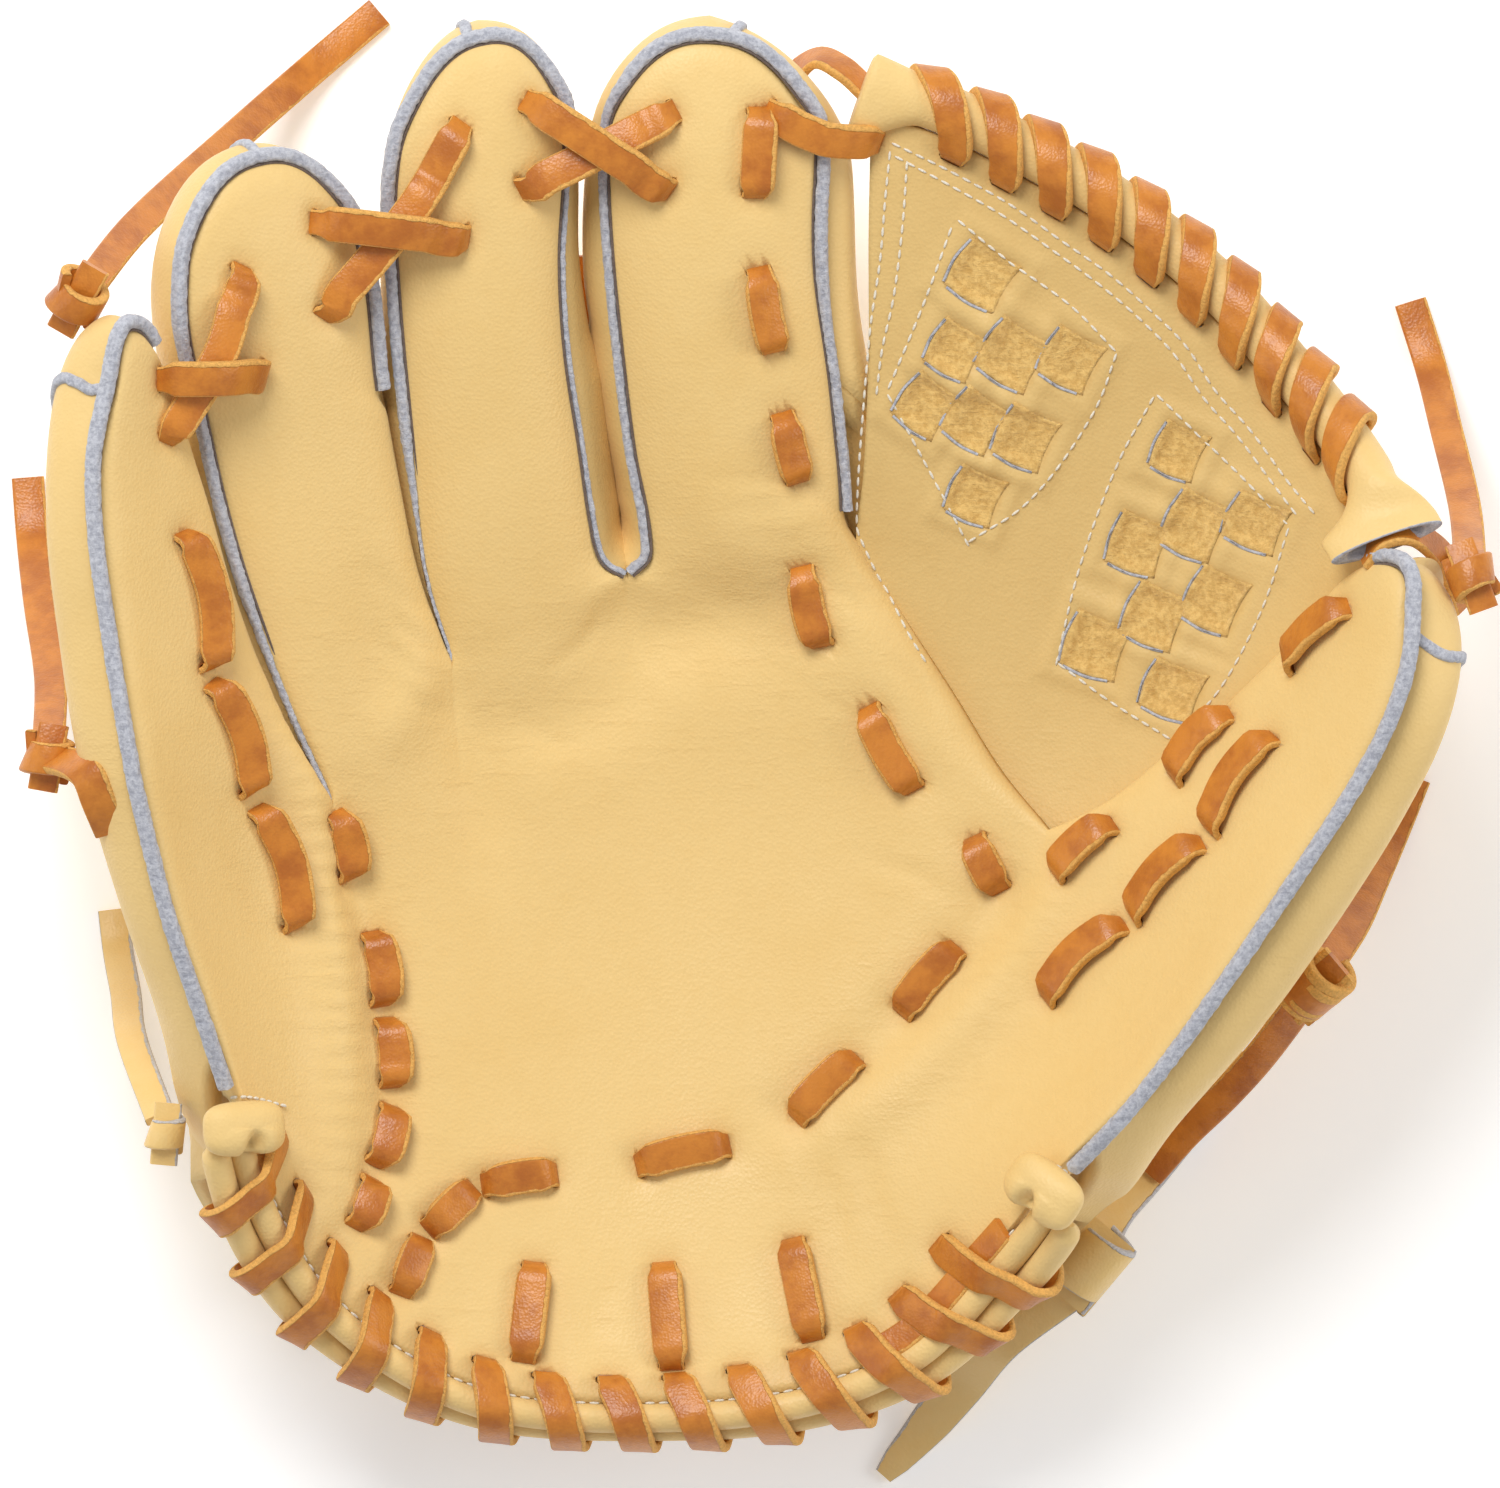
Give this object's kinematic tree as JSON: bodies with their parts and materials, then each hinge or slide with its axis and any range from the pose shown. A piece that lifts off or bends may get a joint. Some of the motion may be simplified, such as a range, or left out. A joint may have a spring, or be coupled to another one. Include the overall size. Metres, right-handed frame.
{
  "type": "softball outfielder glove",
  "caption": "Leather glove for one hand, with five finger stalls around a deep pocket, a laced web with a rolled top bar, and an open back with a wrist strap.",
  "frame": {"origin": "middle of the glove's outline seen from above, on the surface it lies on", "axes": "+X to the thumb, +Y to the fingertips, +Z out of the pocket"},
  "size_m": [0.3098, 0.3135, 0.1123],
  "materials": {
    "leather": "smooth, lightly grained",
    "web_leather": "smooth, slightly duller",
    "tie_leather": "smooth with a gray suede back",
    "lace": "smooth with raw edges",
    "felt": "felt"
  },
  "bodies": {
    "root": {"pinky_back": "leather", "pinky_welt": "felt", "ring_back": "leather", "ring_welt": "felt", "middle_back": "leather", "middle_welt": "felt", "index_back": "leather", "index_welt": "felt", "thumb_back": "leather", "thumb_welt": "felt", "wrist_strap": "leather", "heel_binding": "leather", "lining_binding": "leather", "pinky_end_cap": "leather", "thumb_end_cap": "leather", "web_bar": "web_leather", "heel_lace": "lace", "web_bar_lace": "lace", "palm_lace": "lace", "pinky_side_lace": "lace", "pinky_loop_lace": "lace", "thumb_loop_lace": "lace", "thumb_web_lace_1": "lace", "thumb_web_lace_2": "lace", "thumb_web_lace_3": "lace", "heel_upright_lace_1": "lace", "heel_upright_lace_2": "lace", "heel_upright_lace_3": "lace", "index_web_lace": "lace", "index_bar_lace": "lace", "pinky_ring_lace_under": "lace", "pinky_ring_lace_over": "lace", "ring_middle_lace_under": "lace", "ring_middle_lace_over": "lace", "middle_index_lace_under": "lace", "middle_index_lace_over": "lace", "palm_shell": "leather", "web_panel": "web_leather", "pinky_tip_knot": "lace", "pinky_side_knot": "lace", "thumb_tip_knot": "lace", "thumb_side_knot": "lace", "left_tie_knot": "tie_leather", "right_tie_knot": "tie_leather", "pinky_tip_tail": "lace", "pinky_side_tail": "lace", "thumb_tip_tail": "lace", "thumb_side_tail_1": "lace", "thumb_side_tail_2": "lace", "left_tie_tail": "tie_leather", "right_tie_tail_1": "tie_leather", "right_tie_tail_2": "tie_leather"}
  },
  "joints": []
}
